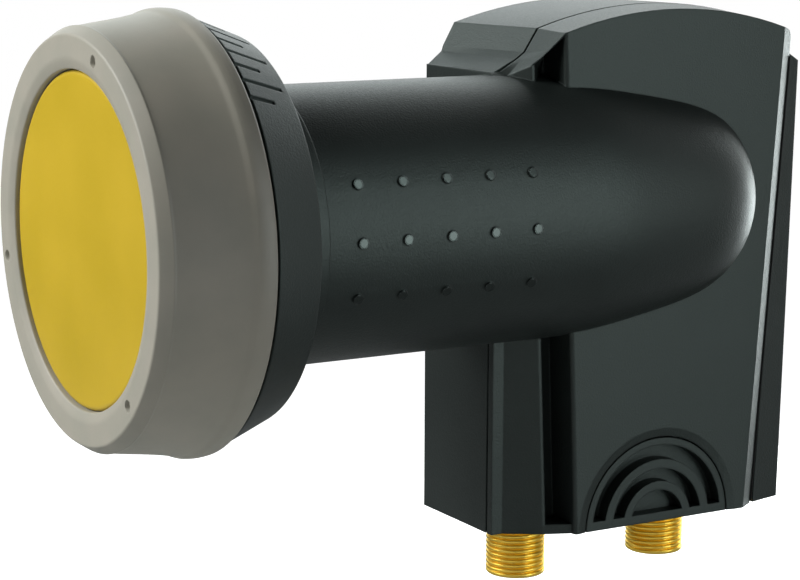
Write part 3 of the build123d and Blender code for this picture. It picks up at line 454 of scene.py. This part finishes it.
near_ridge = np.linspace(SIDE_START, RIDGE_END, RIDGE_ROWS)
side_x = np.concatenate([near_ridge, np.linspace(PLAIN_START, SIDE_END, PLAIN_ROWS)])
share = (side_x - SIDE_START) / (SIDE_END - SIDE_START)
side_radius = SIDE_R + SIDE_RISE * share - SIDE_HOLLOW * share * (1 - share)
side_radius = side_radius + RIDGE * np.exp(-(((side_x - SIDE_START - RIDGE_AT) / RIDGE_WIDTH) ** 2))
dip = fade(side_x, DIP_START, DIP_FULL) * (1 - fade(side_x, LIP_START, SIDE_END))
side = np.stack([side_x, side_radius - DIP * dip], axis=1)
lip = eased([(SIDE_END, SIDE_R + SIDE_RISE), LIP_CREST, LIP_CORNER, LIP_END], [0.5, 0.2])
rear = eased(
    [LIP_CORNER, LIP_END, (RING_REAR, SLEEVE_R), (SLEEVE_END, SLEEVE_R), (SLEEVE_END, SEAT_R),
     (SEAT_END, SEAT_R), (SEAT_END, MOUTH_R), (BEVEL_X, MOUTH_R), (RING_FRONT, BEVEL_R),
     (RING_FRONT, FLAT_END_R)],
    [0.2, 0.15, 0.15, 0.15, 0.15, 0.1, 0.25, 0.4],
)
face = np.stack([np.full(FLAT_ROWS, RING_FRONT), np.linspace(FLAT_START_R, FLAT_END_R, FLAT_ROWS)], axis=1)
round_off = eased([(RING_FRONT, FLAT_END_R), (RING_FRONT, FRONT_EDGE_R), (SIDE_START, SIDE_R)], [0.3])
profile = np.concatenate([face, round_off, side, lip, rear])
print("ring profile:", len(profile), "points")

# %% [markdown]
# Three small cups in the ring's front face look like the marks of ejector pins. They are cut as a function of
# the grid: the depth falls off with the fourth power of the distance from a cup's middle, which gives a flat
# floor and a steep rim. The angles lie closer together near the cups.

# %% Pin cups and the ring
CUP_COUNT, CUP_TURN, CUP_SPAN, CUP_COLUMNS = 3, 17.8, 2.6, 27
CUP_PITCH, CUP_RADIUS, CUP_DEPTH = 26.1, 0.85, 0.8
RING_TURN_STEP = 1.5
cup_angles = np.radians(CUP_TURN + np.arange(CUP_COUNT) * (360.0 / CUP_COUNT))
near_cup = (cup_angles[:, None] + np.radians(np.linspace(-CUP_SPAN, CUP_SPAN, CUP_COLUMNS))).ravel()
angle = np.sort(np.concatenate([np.radians(np.arange(0, 360, RING_TURN_STEP)), near_cup]))
along, radius = spread(profile, angle)
across = np.stack([radius * np.sin(angle), radius * np.cos(angle)], axis=-1)
centres = CUP_PITCH * np.stack([np.sin(cup_angles), np.cos(cup_angles)], axis=-1)
distance = np.linalg.norm(across[:, :, None] - centres, axis=-1).min(axis=-1)
cup = CUP_DEPTH * np.clip(1 - (distance / CUP_RADIUS) ** 4, 0, 1)
along = along + np.where(along < RING_FRONT + ON_SURFACE, cup, 0)
fit_piece("cap_ring", about_neck(along, radius, angle), "ring_plastic")

# %% [markdown]
# ## Window
# A yellow plastic disc, let in a little behind the ring's mouth. It is a shallow dome, a fifth of a
# millimetre high, as thin moulded discs are: that is enough to bend the soft light across it. Its edge is
# rolled back, so a dark groove is left between disc and ring where the mouth's wall can be seen.

# %% Window
WINDOW_FRONT, WINDOW_STEP, WINDOW_BACK = -46.9, -45.5, -44.1
DOME, DOME_R, WINDOW_R, FLANGE_R = 0.2, 22.4, 23.2, 25.1
DOME_ROWS, WINDOW_TURN_STEP = 40, 2.0
radii = np.linspace(0, DOME_R, DOME_ROWS)
dome = np.stack([WINDOW_FRONT - DOME * (1 - (radii / DOME_R) ** 2), radii], axis=1)
back = eased(
    [(WINDOW_FRONT, DOME_R), (WINDOW_FRONT, WINDOW_R), (WINDOW_STEP, WINDOW_R), (WINDOW_STEP, FLANGE_R),
     (WINDOW_BACK, FLANGE_R), (WINDOW_BACK, 0.0)],
    [0.75, 0.1, 0.1, 0.1],
)
profile = np.concatenate([dome, back, [[WINDOW_BACK, 0.0]]])
angle = np.radians(np.arange(0, 360, WINDOW_TURN_STEP))
fit_piece("window", about_neck(profile[:, :1], profile[:, 1:], angle), "window_plastic", wrap_u=False)

# %% [markdown]
# ## Skew collar
# The collar is turned too: a cone, a short tail behind it that ties the two shells together, and a nose in
# front that carries the cap ring. Grid lines are laid across the cone where the marks of its scale end, so
# that the cuts are crisp with few faces.

# %% Collar profile
COLLAR_FRONT, COLLAR_BACK = -31.95, -24.25
COLLAR_FRONT_R, COLLAR_BACK_R = 30.4, 27.4
CONE_START, CONE_END, CONE_ROWS = 0.4, 7.3, 12
TAIL_R, TAIL_END, TAIL_BORE_R, TAIL_BORE_END = 20.8, -19.45, 20.1, -30.0
THROAT_R, THROAT_END, FLARE_R, FLARE_END, FLARE_RIM = 18.0, -31.5, 22.8, -35.0, -36.5
NOSE_R, NOSE_BORE_R, NOSE_END = 27.2, 24.9, -43.1
MARK_LONG, MARK_SHORT, MARK_RIM = 6.4, 4.0, 0.08
cuts = np.array([MARK_SHORT - MARK_RIM, MARK_SHORT + MARK_RIM, MARK_LONG - MARK_RIM, MARK_LONG + MARK_RIM])
depth_along = np.sort(np.concatenate([np.linspace(CONE_START, CONE_END, CONE_ROWS), cuts]))
slope = (COLLAR_FRONT_R - COLLAR_BACK_R) / (COLLAR_BACK - COLLAR_FRONT)
cone = np.stack([COLLAR_FRONT + depth_along, COLLAR_FRONT_R - depth_along * slope], axis=1)
front_corner, back_corner = (COLLAR_FRONT, COLLAR_FRONT_R), (COLLAR_BACK, COLLAR_BACK_R)
inside = eased(
    [front_corner, back_corner, (COLLAR_BACK, TAIL_R), (TAIL_END, TAIL_R), (TAIL_END, TAIL_BORE_R),
     (TAIL_BORE_END, TAIL_BORE_R), (TAIL_BORE_END, THROAT_R), (THROAT_END, THROAT_R), (FLARE_END, FLARE_R),
     (FLARE_RIM, FLARE_R), (FLARE_RIM, NOSE_BORE_R), (NOSE_END, NOSE_BORE_R), (NOSE_END, NOSE_R),
     (COLLAR_FRONT, NOSE_R), front_corner, back_corner],
    [0.3, 0.2, 0.15, 0.1, 0.1, 0.1, 0.1, 0.1, 0.1, 0.1, 0.1, 0.1, 0.1, 0.2],
)
profile = np.concatenate([cone, inside])
print("collar profile:", len(profile), "points")

# %% [markdown]
# The cone carries a scale of engraved marks, long and short in turn, by which the fitter sets the
# polarisation angle. The marks are cut as a function of the grid: the depth is full where a point is within
# half a mark's width of a mark's middle and short of its end, with a small slope at the rim.

# %% Scale marks and the collar
MARK_STEP, MARK_HALF_COUNT, MARK_TURN = 5.75, 8, 0.9
MARK_HALF_WIDTH, MARK_DEPTH, MARK_R = 0.275, 0.4, 29.0
PLAIN_ANGLES = np.arange(52.0, 309.0, 2.5)
marks = np.arange(-MARK_HALF_COUNT, MARK_HALF_COUNT + 1) * MARK_STEP + MARK_TURN
rims = np.array([-1.0, 1.0])[:, None] * (MARK_HALF_WIDTH + np.array([-MARK_RIM, 0, MARK_RIM]))
rims = np.degrees(np.concatenate([rims.ravel(), [0.0]]) / MARK_R)
columns = np.concatenate([(marks[:, None] + rims).ravel(), marks + MARK_STEP / 2, PLAIN_ANGLES])
angle = np.radians(np.sort(columns % 360))
along, radius = spread(profile, angle)
turn = (np.degrees(angle) - MARK_TURN + 180) % 360 - 180
nearest = np.clip(np.round(turn / MARK_STEP), -MARK_HALF_COUNT, MARK_HALF_COUNT)
sideways = np.abs(np.radians(turn - nearest * MARK_STEP)) * MARK_R
reach = np.where(nearest % 2 == 1, MARK_LONG, MARK_SHORT)
cut = 1 - fade(sideways, MARK_HALF_WIDTH - MARK_RIM, MARK_HALF_WIDTH + MARK_RIM)
cut = cut * (1 - fade(along - COLLAR_FRONT, reach - MARK_RIM, reach + MARK_RIM))
on_cone = (along > COLLAR_FRONT - ON_SURFACE) & (along < COLLAR_BACK) & (radius > COLLAR_BACK_R)
engraved = radius - np.where(on_cone, MARK_DEPTH * cut, 0)
fit_piece("skew_collar", about_neck(along, engraved, angle), "black_plastic")

# %% [markdown]
# ## Ports
# An F port is a gold-plated brass barrel with a 3/8-32 thread, 32 turns to the inch. The thread is one
# surface: the radius falls and rises as a rounded wave whose phase moves one pitch along the barrel for each
# turn round it, which makes the ridge a true right-handed helix. The wave's power makes the crests broad and
# the grooves narrow, and it runs out before both ends.

# %% Threaded port bodies
PITCH, ROWS_PER_PITCH = 25.4 / 32, 12
THREAD_DEPTH, THREAD_POWER = 0.42, 3
BARREL_TOP, BARREL_END, BARREL_R, SOCKET_R = -50.0, -60.2, 4.7, 2.9
SPIGOT_TOP, SPIGOT_R = -44.5, 3.6
SHOULDER_TOP, SHOULDER_FOOT, SHOULDER_R, STEM_R = -46.0, -47.2, 5.8, 4.5
END_ROOM, TOP_RUN_OUT, END_RUN_OUT = 0.5, (0.0, 0.3), (0.45, 0.9)
PORT_XS, PORT_Y, PORT_TURN_STEP = (30.1, 57.3), 9.4, 3.0
barrel_z = np.arange(BARREL_TOP, BARREL_END + END_ROOM, -PITCH / ROWS_PER_PITCH)
barrel = np.stack([barrel_z, np.full_like(barrel_z, BARREL_R)], axis=1)
ends = eased(
    [(BARREL_TOP, BARREL_R), (BARREL_END, BARREL_R), (BARREL_END, SOCKET_R), (SPIGOT_TOP, SOCKET_R),
     (SPIGOT_TOP, SPIGOT_R), (SHOULDER_TOP, SPIGOT_R), (SHOULDER_TOP, SHOULDER_R),
     (SHOULDER_FOOT, SHOULDER_R), (SHOULDER_FOOT, STEM_R), (BARREL_TOP, STEM_R), (BARREL_TOP, BARREL_R),
     (BARREL_END, BARREL_R)],
    [0.45, 0.2, 0.1, 0.1, 0.1, 0.2, 0.2, 0.1, 0.1, 0.08],
)
angle = np.radians(np.arange(0, 360, PORT_TURN_STEP))
height, radius = spread(np.concatenate([barrel, ends]), angle)
wave = (0.5 - 0.5 * np.cos(2 * np.pi * (height / PITCH - angle / (2 * np.pi)))) ** THREAD_POWER
run_out = fade(BARREL_TOP - height, *TOP_RUN_OUT) * fade(height - BARREL_END, *END_RUN_OUT)
radius = radius - THREAD_DEPTH * wave * run_out * (radius > BARREL_R - ON_SURFACE)
for number, port_x in enumerate(PORT_XS, start=1):
    points = np.stack([port_x + radius * np.cos(angle), PORT_Y + radius * np.sin(angle), height], axis=-1)
    fit_piece(f"port_{number}_body", points * MM, "gilt")

# %% [markdown]
# ## Joint shade bead
# Behind the bright rear chamfer of the raised side runs a joint, a fine black line in the picture: the shade
# in the joint's gap. A thin near-black bead lies in the joint and laps over the chamfer's edge. It is painted
# shade made as a piece, and that it is sealing rubber is only a guess. It is one round section carried up
# along the joint, which leans back with the housing; the section shrinks to a point at both ends, so it is
# closed.

# %% Joint shade bead
SHADE_BEAD_FOOT, SHADE_BEAD_TOP, SHADE_BEAD_Y, SHADE_BEAD_RADIUS = -49.5, 21.5, -5.85, 0.28
JOINT_FOOT_X, JOINT_FOOT_Z, JOINT_LEAN = 64.9, -50.0, 5.4 / 75.2
SHADE_BEAD_ROWS, SHADE_BEAD_TURN_STEP = 40, 15.0
turn = np.radians(np.arange(0, 360, SHADE_BEAD_TURN_STEP))
shade_bead_z = np.concatenate([[SHADE_BEAD_FOOT], np.linspace(SHADE_BEAD_FOOT, SHADE_BEAD_TOP, SHADE_BEAD_ROWS), [SHADE_BEAD_TOP]])[:, None]
thick = np.full_like(shade_bead_z, SHADE_BEAD_RADIUS)
thick[[0, -1]] = 0
joint_x = JOINT_FOOT_X + (shade_bead_z - JOINT_FOOT_Z) * JOINT_LEAN
shade_bead = np.stack([joint_x + thick * np.cos(turn), SHADE_BEAD_Y + thick * np.sin(turn), shade_bead_z + 0 * turn], axis=-1)
# the seal_rubber finish makes this bead near-black: painted shade standing in for the shadow in the joint's
# gap
fit_piece("joint_shade_bead", shade_bead * MM, "seal_rubber", wrap_u=False)
